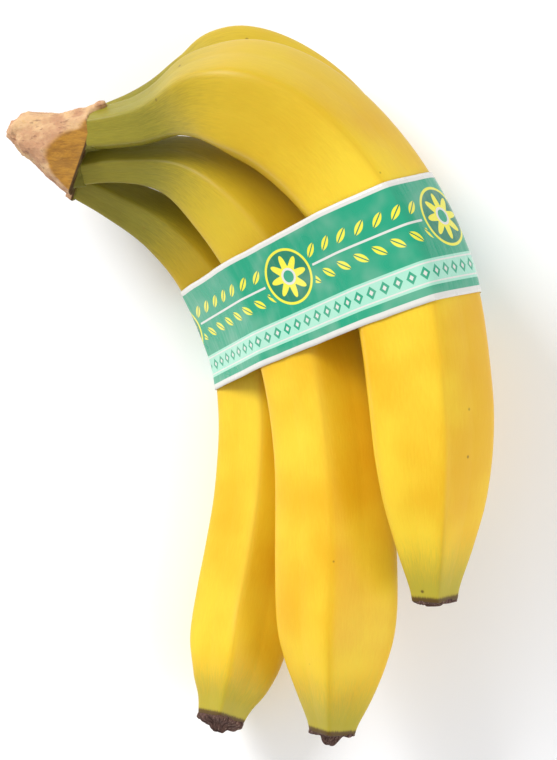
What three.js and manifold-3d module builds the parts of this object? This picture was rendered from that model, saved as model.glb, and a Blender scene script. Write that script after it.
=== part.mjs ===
// A hand of four ripe bananas lying on its side, held together by a printed band.
//
// Millimetres, +Z up. The hand rests on the plane Z = 0, with the middle of its box over the
// origin. +X runs from the cut crown towards the outer fingers, and the fingers point along -Y.
//
// Each banana is a straight lathed body, bent along its spine: a thin pedicel, a five-ridged
// body and a blunt flower end, which carries the dried remains of the flower. The four pedicels
// sit in sockets of the woody crown, and the band follows the taut outline of all four bananas.
import * as THREE from 'three';
import { mergeVertices } from 'three/addons/utils/BufferGeometryUtils.js';
import Module from 'manifold-3d';

const wasm = await Module();
wasm.setup();

// Driving dimensions
const CLEARANCE = 0.35; // between pieces that touch
const RIDGES = 5; // ridges round a banana's skin
const SIDES_PER_FACE = 4; // steps round one face between two ridges
const RINGS = 30; // steps along a banana
const RIDGE_SOFTNESS = 0.08; // radians of rounding at a ridge
const FACE_FLATNESS_BODY = 0.72; // 0 is round, 1 is a true pentagon
const FACE_FLATNESS_ENDS = 0.9; // the skin is more angular at both ends
const RIDGE_TWIST = 0.25; // radians that the ridges turn along a banana

const FLOWER_END_LENGTH = 5; // the dried flower stub, along the banana
const FLOWER_END_SIDES = 15;

const CROWN_SIDES = 20;
const COLLAR_LENGTH = 3; // how far the crown's skin runs up each pedicel
const COLLAR_WALL = 1.1;

const BAND_GAP = 1;
const BAND_THICKNESS = 0.45;
const BAND_ROWS = 4; // steps across the band's width
const BAND_SIDES = 144; // steps round the band

// The band runs under the bananas, and their skins rest at its level on either side of it.
const REST_LEVEL = -(BAND_GAP + BAND_THICKNESS);

// The bananas: a spine from inside the crown to the flower end, and the ridge radius as
// [share of the spine's length, radius] stations. The first ridge angle is measured from +Z.
const BANANAS = {
  front: {
    spine: [
      [-56, 77.5, 40], [-34, 80.2, 47.5], [-11, 86.8, 58], [12.8, 79.6, 62.5],
      [34.8, 58, 63], [49.2, 29.2, 64], [54.6, -2.4, 64.5], [56.4, -33, 64],
      [57.2, -65.8, 60],
    ],
    radii: [
      [0, 6.2], [0.1, 8], [0.15, 9.8], [0.2, 15], [0.26, 19.5], [0.36, 20.6], [0.5, 20.7],
      [0.66, 20.3], [0.78, 19.6], [0.86, 17.2], [0.93, 12.4], [0.98, 8.4], [1, 7.4],
    ],
    firstRidge: -0.4,
  },
  middle: {
    spine: [
      [-58, 66.2, 34.2], [-40, 68.4, 35.8], [-19.5, 66.4, 38], [-1, 53, 40], [13, 33.5, 40.5],
      [22, 7, 40.3], [26.5, -19, 40], [28.2, -45, 39.8], [28.6, -70, 39.5], [28.3, -90, 38.5],
      [27.1, -109, 36.5],
    ],
    radii: [
      [0, 5.6], [0.1, 6.9], [0.17, 10.9], [0.24, 14.6], [0.33, 16.9], [0.46, 18], [0.62, 18.6],
      [0.77, 19.9], [0.85, 19.5], [0.9, 16.9], [0.95, 12.3], [0.985, 8.6], [1, 7.6],
    ],
    firstRidge: -0.05,
  },
  left: {
    spine: [
      [-55, 64.6, 22], [-41.8, 58.4, 21.4], [-25.4, 48.9, 19], [-10.6, 34.2, 15], [1.6, 12, 13.4],
      [5.1, -8, 12.8], [4.9, -32, 11.9], [2.3, -53.7, 11.7], [-0.8, -72, 12.2], [-3.5, -90, 15.2],
      [-8.2, -107.4, 19],
    ],
    radii: [
      [0, 6], [0.09, 7.8], [0.18, 10.1], [0.29, 12.9], [0.38, 14.6], [0.5, 15], [0.65, 15.6],
      [0.8, 16.5], [0.88, 16.3], [0.94, 13], [0.975, 9.4], [1, 7.8],
    ],
    firstRidge: -0.1,
  },
  back: {
    spine: [
      [-55, 77.6, 27], [-36, 84.8, 25.2], [-18.2, 93.5, 19.5], [-2.3, 96.4, 15.6],
      [17, 86, 14.9], [34.4, 65, 16.9], [48.4, 37.2, 17.3], [56, 8, 16.9], [57.5, -20, 12.7],
      [56.5, -54, 12.6],
    ],
    radii: [
      [0, 6.2], [0.09, 6.8], [0.14, 8], [0.18, 11.4], [0.22, 16], [0.27, 18.6], [0.4, 19.3],
      [0.65, 18.8], [0.78, 17.4], [0.88, 14.2], [0.96, 9], [1, 7.2],
    ],
    firstRidge: -0.1,
  },
};

// The crown: its axis from the cut to the pedicels, then stations along that axis as
// [share, half width across the hand, half height].
const CROWN = {
  cut: [-74.8, 78.4, 35.2],
  face: [-50.3, 71.2, 34.4],
  slant: -0.12, // how far the face leans, as a share of the offset across the hand
  stations: [[0, 3.4, 5], [0.12, 5.6, 8], [0.34, 7.8, 10.8], [0.62, 11, 13.8], [1, 13.8, 16.8]],
};

// The band's two edges, each in a plane given by a point and its normal, towards the flower ends.
const BAND_EDGES = [
  { point: [41.4, 59, 80], normal: [0.37, -0.926, 0.08] },
  { point: [49.9, 22, 82], normal: [0.3, -0.95, 0.08] },
];

const PEEL = { color: 0xf4c724, roughness: 0.5, metalness: 0 };
const DRIED_FLOWER = { color: 0x4a342c, roughness: 0.95, metalness: 0 };
const CROWN_SKIN = { color: 0xc98f56, roughness: 0.9, metalness: 0 };
const BAND_FILM = { color: 0x1f9c78, roughness: 0.35, metalness: 0 };

const vector = (values) => new THREE.Vector3(...values);
const smooth = THREE.MathUtils.smoothstep;

// The share of a ridge's radius that the skin reaches at an angle from the first ridge.
function skinShare(angle, flatness) {
  const half = Math.PI / RIDGES;
  const pitch = 2 * half;
  const fromRidge = angle - pitch * Math.round(angle / pitch);
  const softened = Math.hypot(fromRidge, RIDGE_SOFTNESS) - RIDGE_SOFTNESS;
  return 1 - flatness * (1 - Math.cos(half) / Math.cos(half - softened));
}

function flatnessAt(share) {
  const ends = 1 - smooth(share, 0.1, 0.35) + smooth(share, 0.75, 0.98);
  return FACE_FLATNESS_BODY + (FACE_FLATNESS_ENDS - FACE_FLATNESS_BODY) * ends;
}

function makeSpine(banana) {
  return new THREE.CatmullRomCurve3(banana.spine.map(vector), false, 'catmullrom', 0.5);
}

// The directions across a spine at a share of its length: up, and across to the left of travel.
function frameAt(spine, share) {
  const along = spine.getTangentAt(share);
  const up = new THREE.Vector3(0, 0, 1).addScaledVector(along, -along.z).normalize();
  return { centre: spine.getPointAt(share), along, up, across: along.clone().cross(up) };
}

// Moves every vertex of a geometry to where place() puts it, and joins the shared ones.
function reshape(geometry, place) {
  const points = geometry.getAttribute('position');
  const vertex = new THREE.Vector3();
  for (let i = 0; i < points.count; i++) {
    const moved = place(vertex.fromBufferAttribute(points, i));
    points.setXYZ(i, moved.x, moved.y, moved.z);
  }
  geometry.deleteAttribute('normal');
  geometry.deleteAttribute('uv');
  return mergeVertices(geometry, 1e-4);
}

// A stretch of a banana between two shares of its spine, with its skin moved out by grow.
function bananaGeometry(banana, { from = 0, to = 1, rings = RINGS, grow = 0 } = {}) {
  const spine = makeSpine(banana);
  const length = spine.getLength();
  const outline = new THREE.SplineCurve(banana.radii.map(([share, r]) => new THREE.Vector2(r, share)));
  const radiusAt = radiusLookup(outline);
  const profile = [new THREE.Vector2(0, from * length - grow)];
  for (let i = 0; i <= rings; i++) {
    const share = from + ((to - from) * i) / rings;
    const start = i === 0 ? grow : 0; // a grown body also starts earlier
    profile.push(new THREE.Vector2(radiusAt(share) + grow, share * length - start));
  }
  profile.push(new THREE.Vector2(0, to * length));
  const straight = new THREE.LatheGeometry(profile, RIDGES * SIDES_PER_FACE);
  return reshape(straight, (vertex) => {
    const share = THREE.MathUtils.clamp(vertex.y / length, 0, 1);
    const { centre, along, up, across } = frameAt(spine, share);
    const fromRidge = Math.atan2(vertex.x, vertex.z);
    const radius = Math.hypot(vertex.x, vertex.z) * skinShare(fromRidge, flatnessAt(share));
    const angle = fromRidge + banana.firstRidge + RIDGE_TWIST * share;
    const placed = centre
      .addScaledVector(up, radius * Math.cos(angle))
      .addScaledVector(across, radius * Math.sin(angle));
    placed.addScaledVector(along, vertex.y - share * length);
    placed.z = Math.max(placed.z, REST_LEVEL); // the skin flattens where the hand lies on it
    return placed;
  });
}

// Reads a radius off an outline drawn as (radius, share) points.
function radiusLookup(outline) {
  const samples = outline.getPoints(240);
  return (share) => {
    const next = Math.max(1, samples.findIndex((sample) => sample.y >= share - 1e-9));
    const [low, high] = [samples[next - 1], samples[next]];
    const part = (share - low.y) / Math.max(high.y - low.y, 1e-9);
    return low.x + (high.x - low.x) * part;
  };
}

// The dried flower stub: a ragged skirt round a small knob, on the banana's flower end.
function flowerEndGeometry(banana) {
  const { centre, along, up, across } = frameAt(makeSpine(banana), 1);
  const radius = banana.radii.at(-1)[1] * 0.86;
  const profile = [
    [0, 0], [radius, 0], [radius * 0.98, 0.3], [radius * 0.8, 0.62], [radius * 0.42, 0.8], [0, 1],
  ].map(([r, share]) => new THREE.Vector2(r, share * FLOWER_END_LENGTH));
  const start = centre.addScaledVector(along, CLEARANCE);
  return reshape(new THREE.LatheGeometry(profile, FLOWER_END_SIDES), (vertex) =>
    start.clone()
      .addScaledVector(along, vertex.y)
      .addScaledVector(up, vertex.z)
      .addScaledVector(across, vertex.x));
}

function toManifold(geometry) {
  return new wasm.Manifold(new wasm.Mesh({
    numProp: 3,
    vertProperties: new Float32Array(geometry.getAttribute('position').array),
    triVerts: new Uint32Array(geometry.index.array),
  }));
}

function fromManifold(solid) {
  const { vertProperties, triVerts } = solid.getMesh();
  return new THREE.BufferGeometry()
    .setAttribute('position', new THREE.BufferAttribute(vertProperties, 3))
    .setIndex(new THREE.BufferAttribute(triVerts, 1));
}

// The woody cushion that carries the bananas, with a collar round each pedicel and its socket.
function crownGeometry() {
  const [cut, face] = [vector(CROWN.cut), vector(CROWN.face)];
  const along = face.clone().sub(cut);
  const length = along.length();
  along.normalize();
  const across = along.clone().cross(new THREE.Vector3(0, 0, 1)).normalize();
  const profile = [new THREE.Vector2(0, 0)];
  for (const [share, halfWidth] of CROWN.stations) profile.push(new THREE.Vector2(halfWidth, share));
  profile.push(new THREE.Vector2(0, 1));
  const heightRatio = new THREE.SplineCurve(
    CROWN.stations.map(([share, halfWidth, halfHeight]) => new THREE.Vector2(halfHeight / halfWidth, share)));
  const ratioAt = radiusLookup(heightRatio);
  const block = reshape(new THREE.LatheGeometry(profile, CROWN_SIDES), (vertex) => {
    const share = vertex.y;
    return cut.clone()
      .addScaledVector(along, share * (length + CROWN.slant * vertex.x))
      .addScaledVector(across, vertex.x)
      .add(new THREE.Vector3(0, 0, vertex.z * ratioAt(share)));
  });
  let crown = toManifold(block);
  for (const banana of Object.values(BANANAS)) {
    const length = makeSpine(banana).getLength();
    const reach = shareBeyond(banana, face, along) + COLLAR_LENGTH / length;
    const collar = bananaGeometry(banana, { to: reach, rings: 3, grow: COLLAR_WALL + CLEARANCE });
    crown = crown.add(toManifold(collar));
  }
  for (const banana of Object.values(BANANAS)) {
    const socket = bananaGeometry(banana, { to: 0.25, rings: 8, grow: CLEARANCE });
    crown = crown.subtract(toManifold(socket));
  }
  return fromManifold(largestBody(crown));
}

// The share of a banana's spine at which it leaves the crown's slanted face.
function shareBeyond(banana, face, along) {
  const spine = makeSpine(banana);
  const across = along.clone().cross(new THREE.Vector3(0, 0, 1));
  for (let share = 0; share < 0.2; share += 0.002) {
    const offset = spine.getPointAt(share).sub(face);
    if (offset.dot(along) > CROWN.slant * offset.dot(across)) return share;
  }
  return 0;
}

function largestBody(solid) {
  return solid.decompose().reduce((best, body) => (body.volume() > best.volume() ? body : best));
}

// How far the taut outline round points lies from its middle, in each direction round it.
function tautOutline(points, gap) {
  const us = points.map((p) => p.u);
  const vs = points.map((p) => p.v);
  const centre = {
    u: (Math.min(...us) + Math.max(...us)) / 2,
    v: (Math.min(...vs) + Math.max(...vs)) / 2,
  };
  const tangents = Array.from({ length: 240 }, (_, i) => {
    const angle = (i * Math.PI) / 120;
    const [c, s] = [Math.cos(angle), Math.sin(angle)];
    const reach = Math.max(...points.map((p) => (p.u - centre.u) * c + (p.v - centre.v) * s));
    return { angle, reach: reach + gap };
  });
  return (angle) => {
    const facing = tangents.filter((tangent) => Math.cos(angle - tangent.angle) > 0.2);
    const radius = Math.min(...facing.map((t) => t.reach / Math.cos(angle - t.angle)));
    return { u: centre.u + radius * Math.cos(angle), v: centre.v + radius * Math.sin(angle) };
  };
}

// Where the plane of a band row cuts the skins of all four bananas.
function sectionPoints(skins, origin, normal, across, up) {
  const found = [];
  for (const { points, index } of skins) {
    const depth = points.map((p) => p.clone().sub(origin).dot(normal));
    for (let i = 0; i < index.length; i++) {
      const [a, b] = [index[i], index[i % 3 === 2 ? i - 2 : i + 1]];
      if (depth[a] < 0 === depth[b] < 0) continue;
      const hit = points[a].clone().lerp(points[b], depth[a] / (depth[a] - depth[b])).sub(origin);
      found.push({ u: hit.dot(across), v: hit.dot(up) });
    }
  }
  return found;
}

// The printed band: a ring with a closed profile, laid on the taut outline of the bananas.
function bandGeometry(bananaGeometries) {
  const skins = bananaGeometries.map((geometry) => {
    const positions = geometry.getAttribute('position');
    const points = [];
    for (let i = 0; i < positions.count; i++) points.push(new THREE.Vector3().fromBufferAttribute(positions, i));
    return { points, index: Array.from(geometry.index.array) };
  });
  const rows = [];
  for (let row = 0; row <= BAND_ROWS; row++) {
    const part = row / BAND_ROWS;
    const origin = vector(BAND_EDGES[0].point).lerp(vector(BAND_EDGES[1].point), part);
    const normal = vector(BAND_EDGES[0].normal).lerp(vector(BAND_EDGES[1].normal), part).normalize();
    const across = new THREE.Vector3(0, 0, 1).cross(normal).normalize();
    const up = normal.clone().cross(across);
    const points = sectionPoints(skins, origin, normal, across, up);
    const inside = tautOutline(points, BAND_GAP);
    const outside = tautOutline(points, BAND_GAP + BAND_THICKNESS);
    rows.push({ origin, across, up, inside, outside });
  }
  // The lathe's radius only tells the inside from the outside, and its height tells the row.
  const profile = [];
  for (let row = 0; row <= BAND_ROWS; row++) profile.push(new THREE.Vector2(2, row));
  for (let row = BAND_ROWS; row >= 0; row--) profile.push(new THREE.Vector2(1, row));
  profile.push(new THREE.Vector2(2, 0));
  const ring = new THREE.LatheGeometry(profile, BAND_SIDES);
  return reshape(ring, (vertex) => {
    const { origin, across, up, inside, outside } = rows[Math.round(vertex.y)];
    const face = Math.hypot(vertex.x, vertex.z) > 1.5 ? outside : inside;
    const { u, v } = face(Math.atan2(vertex.x, vertex.z));
    return origin.clone().addScaledVector(across, u).addScaledVector(up, v);
  });
}

function addPiece(hand, name, geometry, finish) {
  const piece = new THREE.Mesh(geometry, new THREE.MeshStandardMaterial(finish));
  piece.name = name;
  hand.add(piece);
}

const hand = new THREE.Group();
const skins = [];
for (const [side, banana] of Object.entries(BANANAS)) {
  const skin = bananaGeometry(banana);
  skins.push(skin);
  addPiece(hand, `${side}_banana`, skin, PEEL);
  addPiece(hand, `${side}_flower_end`, flowerEndGeometry(banana), DRIED_FLOWER);
}
addPiece(hand, 'crown', crownGeometry(), CROWN_SKIN);
addPiece(hand, 'label_band', bandGeometry(skins), BAND_FILM);

// Stands the hand on Z = 0 with the middle of its box over the origin.
const box = new THREE.Box3().setFromObject(hand);
const middle = box.getCenter(new THREE.Vector3());
hand.position.set(-middle.x, -middle.y, -box.min.z);

export default hand;
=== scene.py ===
"""Dresses a hand of ripe bananas that lies on its side, held together by a printed film band.

Sizes are in millimetres in the classes, and meshes are in metres in the row's frame.
"""

from __future__ import annotations

import logging
import math
import sys
from dataclasses import dataclass, field
from enum import Enum
from typing import Sequence

import bpy
import numpy as np
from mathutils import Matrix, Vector, noise


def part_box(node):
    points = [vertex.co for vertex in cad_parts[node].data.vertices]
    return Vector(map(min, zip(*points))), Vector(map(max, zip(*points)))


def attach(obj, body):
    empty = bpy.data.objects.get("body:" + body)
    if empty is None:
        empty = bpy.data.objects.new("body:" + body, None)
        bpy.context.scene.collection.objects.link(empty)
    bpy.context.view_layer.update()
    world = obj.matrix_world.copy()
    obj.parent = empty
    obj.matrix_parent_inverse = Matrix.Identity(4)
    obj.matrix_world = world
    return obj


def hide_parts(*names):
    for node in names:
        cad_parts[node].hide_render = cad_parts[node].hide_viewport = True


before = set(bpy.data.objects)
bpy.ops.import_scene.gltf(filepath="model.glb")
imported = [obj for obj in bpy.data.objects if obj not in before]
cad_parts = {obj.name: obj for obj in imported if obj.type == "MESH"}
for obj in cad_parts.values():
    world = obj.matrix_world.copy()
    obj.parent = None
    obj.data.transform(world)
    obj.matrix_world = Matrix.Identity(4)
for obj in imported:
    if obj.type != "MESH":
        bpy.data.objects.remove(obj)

log = logging.getLogger("hand_of_bananas")

MM = 0.001
BODY = "root"
RIDGES = 5
Array = np.ndarray
Point = tuple[float, float, float]
Shell = tuple[Array, list[tuple[int, ...]]]  # vertices and faces


class Side(Enum):
    """Which of the hand's bananas a piece belongs to."""

    FRONT = "front"
    MIDDLE = "middle"
    LEFT = "left"
    BACK = "back"


def linear(code: str) -> tuple[float, float, float, float]:
    """Turns a display colour into the linear colour that a shader takes.

    Args:
        code: six hexadecimal digits, red, green and blue.

    Returns:
        Red, green, blue and an alpha of one.
    """
    values = [int(code[i : i + 2], 16) / 255 for i in (0, 2, 4)]
    red, green, blue = (
        v / 12.92 if v <= 0.04045 else ((v + 0.055) / 1.055) ** 2.4 for v in values
    )
    return red, green, blue, 1.0


def turns(count: int) -> Array:
    """Gives that many even angles round a full turn."""
    return np.linspace(0, 2 * math.pi, count, endpoint=False)


def smooth(value: Array, low: float, high: float) -> Array:
    """Rises smoothly from nought to one between two values.

    Args:
        value: the numbers to weigh.
        low: where the rise starts.
        high: where the rise ends.

    Returns:
        One weight for each number.
    """
    part = np.clip((np.asarray(value, float) - low) / (high - low), 0, 1)
    return part * part * (3 - 2 * part)


def grain(points: Array, scale: float, seed: float) -> Array:
    """Samples soft three-dimensional noise.

    Args:
        points: one row for each point.
        scale: how many waves of noise fit in a unit.
        seed: moves the noise, so that two uses differ.

    Returns:
        One value for each point, from about -1 to 1.
    """
    shifted = np.asarray(points, float) * scale + seed
    return np.array([noise.noise(Vector(p)) for p in shifted])


def catmull_rom(knots: Array, reflect: bool, samples: int = 60) -> Array:
    """Draws a smooth curve through knots.

    Args:
        knots: one row for each knot.
        reflect: whether the curve runs on past its ends by reflection, or stops short on them.
        samples: points for each stretch between two knots.

    Returns:
        The curve's points, one row each.
    """
    first = 2 * knots[0] - knots[1] if reflect else knots[0]
    last = 2 * knots[-1] - knots[-2] if reflect else knots[-1]
    padded = np.vstack([first, knots, last])
    t = np.linspace(0, 1, samples, endpoint=False)[:, None]
    rows = []
    for i in range(len(knots) - 1):
        p0, p1, p2, p3 = padded[i : i + 4]
        v0, v1 = (p2 - p0) / 2, (p3 - p1) / 2
        rows.append(
            (2 * p1 - 2 * p2 + v0 + v1) * t**3
            + (-3 * p1 + 3 * p2 - 2 * v0 - v1) * t**2
            + v0 * t
            + p1
        )
    return np.vstack([*rows, knots[-1:]])


def grid_faces(rings: int, sides: int, closed_rings: bool = False) -> list[tuple[int, ...]]:
    """Joins rings of vertices into four-sided faces.

    Args:
        rings: how many rings there are.
        sides: how many vertices each ring has.
        closed_rings: whether the last ring joins the first one.

    Returns:
        The faces, with their outsides facing out where the rings turn left round their direction.
    """
    faces = []
    for i in range(rings if closed_rings else rings - 1):
        for j in range(sides):
            k = (j + 1) % sides
            low, high = i * sides, (i + 1) % rings * sides
            faces.append((low + j, low + k, high + k, high + j))
    return faces


def make_mesh(
    name: str, vertices: Array, faces: Sequence[Sequence[int]], marks: dict[str, Array] | None = None
) -> bpy.types.Object:
    """Makes a smooth-shaded mesh object from millimetres in the row's frame.

    Args:
        name: the object's name.
        vertices: one row for each vertex.
        faces: the vertices of each face.
        marks: values for each vertex that the finishes read, by name.

    Returns:
        The new object, in metres.
    """
    mesh = bpy.data.meshes.new(name)
    mesh.from_pydata((np.asarray(vertices) * MM).tolist(), [], [tuple(f) for f in faces])
    mesh.update()
    mesh.shade_smooth()
    for mark, values in (marks or {}).items():
        flat = np.asarray(values, float)
        kind, slot = ("FLOAT_VECTOR", "vector") if flat.ndim == 2 else ("FLOAT", "value")
        mesh.attributes.new(mark, kind, "POINT").data.foreach_set(slot, flat.ravel())
    piece = bpy.data.objects.new(name, mesh)
    bpy.context.collection.objects.link(piece)
    return piece


def dress(piece: bpy.types.Object, material: bpy.types.Material, slot: str, *nodes: str) -> None:
    """Gives a piece its finish, and its place in the frame.

    Args:
        piece: the piece.
        material: its finish.
        slot: the record's material slot; not used.
        nodes: the frame's nodes that the piece stands for.
    """
    piece.data.materials.clear()
    piece.data.materials.append(material)
    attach(piece, BODY)
    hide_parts(*nodes)
    log.info("%s: %d faces", piece.name, len(piece.data.polygons))


Socket = bpy.types.NodeSocket
Value = "Socket | float | tuple[float, ...]"


class Graph:
    """Builds the nodes of one finish."""

    def __init__(self, name: str) -> None:
        """Starts a material with one shader.

        Args:
            name: the material's name.
        """
        self.material = bpy.data.materials.new(name)
        self.material.use_nodes = True
        self.tree = self.material.node_tree
        self.shader = self.tree.nodes["Principled BSDF"]

    def add(self, kind: str, **settings: object) -> bpy.types.Node:
        """Adds a node and sets its options.

        Args:
            kind: the node's type.
            settings: its options by name.

        Returns:
            The node.
        """
        node = self.tree.nodes.new(kind)
        for key, value in settings.items():
            setattr(node, key, value)
        return node

    def feed(self, socket: Socket, value: Value) -> None:
        """Links a socket to another one, or sets its value."""
        if isinstance(value, bpy.types.NodeSocket):
            self.tree.links.new(value, socket)
        else:
            socket.default_value = value

    def math(self, operation: str, *values: Value, clamp: bool = False) -> Socket:
        """Works out one number.

        Args:
            operation: the sum to do.
            values: its inputs.
            clamp: whether the result stays between nought and one.

        Returns:
            The result's socket.
        """
        node = self.add("ShaderNodeMath", operation=operation, use_clamp=clamp)
        for socket, value in zip(node.inputs, values):
            self.feed(socket, value)
        return node.outputs[0]

    def span(self, value: Value, low: float, high: float, to_low: float = 0.0, to_high: float = 1.0) -> Socket:
        """Maps a range smoothly to another one.

        Args:
            value: what to map.
            low: where the range starts.
            high: where the range ends.
            to_low: the result at and before its start.
            to_high: the result at and past its end.

        Returns:
            The result's socket.
        """
        node = self.add("ShaderNodeMapRange", interpolation_type="SMOOTHSTEP")
        for socket, item in zip(node.inputs, (value, low, high, to_low, to_high)):
            self.feed(socket, item)
        return node.outputs[0]

    def mix(self, part: Value, first: Value, second: Value, blend: str = "MIX") -> Socket:
        """Mixes two colours.

        Args:
            part: how much of the second colour.
            first: the first colour.
            second: the second colour.
            blend: how they mix.

        Returns:
            The mixed colour's socket.
        """
        node = self.add("ShaderNodeMix", data_type="RGBA", blend_type=blend)
        self.feed(node.inputs[0], part)
        self.feed(node.inputs[6], first)
        self.feed(node.inputs[7], second)
        return node.outputs[2]

    def mark(self, name: str, vector: bool = False) -> Socket:
        """Reads a value kept on the mesh's vertices."""
        node = self.add("ShaderNodeAttribute", attribute_name=name)
        return node.outputs["Vector" if vector else "Fac"]

    def place(self) -> Socket:
        """Reads the position on the object, in metres."""
        return self.add("ShaderNodeTexCoord").outputs["Object"]

    def stretch(self, vector: Socket, scale: Point) -> Socket:
        """Scales a position by a factor for each axis."""
        node = self.add("ShaderNodeMapping")
        self.feed(node.inputs["Vector"], vector)
        node.inputs["Scale"].default_value = scale
        return node.outputs[0]

    def clouds(self, vector: Socket, scale: float, detail: float = 3.0, rough: float = 0.5) -> Socket:
        """Makes soft noise.

        Args:
            vector: where it is read.
            scale: how fine it is.
            detail: how many finer layers it has.
            rough: how strong they are.

        Returns:
            A value from nought to one.
        """
        node = self.add("ShaderNodeTexNoise")
        self.feed(node.inputs["Vector"], vector)
        node.inputs["Scale"].default_value = scale
        node.inputs["Detail"].default_value = detail
        node.inputs["Roughness"].default_value = rough
        return node.outputs[0]

    def dots(self, vector: Socket, scale: float, share: float, radius: float, soft: float) -> Socket:
        """Scatters small round dots, in some cells of a loose lattice.

        Args:
            vector: where the dots are read.
            scale: how many cells there are in a unit.
            share: the share of cells that hold a dot.
            radius: a dot's radius, in cells.
            soft: the width of its soft edge, in cells.

        Returns:
            One inside a dot and nought outside.
        """
        node = self.add("ShaderNodeTexVoronoi")
        self.feed(node.inputs["Vector"], vector)
        node.inputs["Scale"].default_value = scale
        pick = self.add("ShaderNodeSeparateColor")
        self.feed(pick.inputs[0], node.outputs["Color"])
        held = self.math("LESS_THAN", pick.outputs[0], share)
        size = self.math("MULTIPLY_ADD", pick.outputs[1], radius * 0.7, radius * 0.3)
        inner = self.math("SUBTRACT", size, node.outputs["Distance"])
        return self.math("MULTIPLY", held, self.span(inner, 0.0, soft))

    def relief(self, height: Socket, depth: float, strength: float = 1.0) -> None:
        """Roughens the surface.

        Args:
            height: from nought, low, to one, high.
            depth: the height of one, in metres.
            strength: how much of it shows.
        """
        node = self.add("ShaderNodeBump")
        node.inputs["Strength"].default_value = strength
        node.inputs["Distance"].default_value = depth
        self.feed(node.inputs["Height"], height)
        self.feed(self.shader.inputs["Normal"], node.outputs[0])

    def set(self, **values: Value) -> None:
        """Sets the shader's inputs, named with underscores for spaces."""
        for key, value in values.items():
            self.feed(self.shader.inputs[key.replace("_", " ")], value)


@dataclass(frozen=True)
class PeelFinish:
    """Ripe peel: waxy yellow, greener at both ends, with faint fibres, ridge lines and specks."""

    golden: str = "e0ac14"
    lemon: str = "eecd32"
    ridge: str = "cc9e1c"
    stalk_green: str = "7c7626"
    stalk_yellow: str = "8e862c"
    neck: str = "b69c22"
    tip_green: str = "9c9a34"
    bruise: str = "8a5a20"
    speck: str = "4a2c14"
    stalk_end: float = 0.17
    tip_start: float = 0.9

    def build(self, name: str, seed: float) -> bpy.types.Material:
        """Builds the peel of one banana.

        Args:
            name: the material's name.
            seed: moves the noise, so that two bananas differ.

        Returns:
            The material.
        """
        g = Graph(name)
        place = g.add("ShaderNodeMapping")
        g.feed(place.inputs["Vector"], g.place())
        place.inputs["Location"].default_value = (seed, seed * 0.7, seed * 1.3)
        spot = place.outputs[0]
        skin = g.mark("skin", vector=True)
        share = g.mark("share")
        ridge = g.mark("ridge")
        broad = g.clouds(spot, 28, 2)
        fibres = g.clouds(g.stretch(skin, (34, 34, 5)), 1.0, 3, 0.6)
        fine = g.clouds(spot, 900, 2)
        tone = g.math("ADD", g.math("MULTIPLY", broad, 0.85), g.math("MULTIPLY", fibres, 0.15))
        colour = g.mix(g.span(tone, 0.3, 0.7), linear(self.golden), linear(self.lemon))
        line = g.math("MULTIPLY", g.math("POWER", ridge, 9.0), g.span(broad, 0.35, 0.6, 0.15, 0.5))
        colour = g.mix(line, colour, linear(self.ridge))
        # the stalk's green runs down the banana in uneven tongues
        uneven = g.math("MULTIPLY_ADD", g.math("SUBTRACT", fibres, 0.5), 0.07, share)
        neck = g.span(uneven, self.stalk_end, self.stalk_end * 3.1, 1.0, 0.0)
        colour = g.mix(g.math("MULTIPLY", neck, 0.85), colour, linear(self.neck))
        stalk = g.span(uneven, self.stalk_end * 0.7, self.stalk_end * 1.5, 1.0, 0.0)
        green = g.mix(g.span(fibres, 0.3, 0.7), linear(self.stalk_green), linear(self.stalk_yellow))
        colour = g.mix(g.math("MULTIPLY", stalk, 0.92), colour, green)
        tip = g.span(uneven, self.tip_start, self.tip_start + 0.09)
        colour = g.mix(g.math("MULTIPLY", tip, 0.75), colour, linear(self.tip_green))
        scorched = g.span(g.math("MULTIPLY_ADD", g.math("SUBTRACT", fibres, 0.5), 0.006, share), 0.991, 0.996)
        colour = g.mix(g.math("MULTIPLY", scorched, 0.9), colour, linear(self.speck))
        scuffs = g.dots(spot, 75, 0.1, 0.12, 0.1)
        colour = g.mix(g.math("MULTIPLY", scuffs, 0.35), colour, linear(self.bruise))
        specks = g.dots(spot, 150, 0.16, 0.16, 0.08)
        colour = g.mix(g.math("MULTIPLY", specks, 0.75), colour, linear(self.speck))
        g.set(
            Base_Color=colour,
            Roughness=g.span(tone, 0.3, 0.7, 0.4, 0.5),
            Specular_IOR_Level=0.3,
            Subsurface_Weight=0.15,
            Subsurface_Radius=(1.0, 0.42, 0.08),
            Subsurface_Scale=0.006,
        )
        height = g.math("ADD", g.math("MULTIPLY", fibres, 0.6), g.math("MULTIPLY", fine, 0.25))
        g.relief(height, 0.0003, 0.2)
        return g.material


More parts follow.
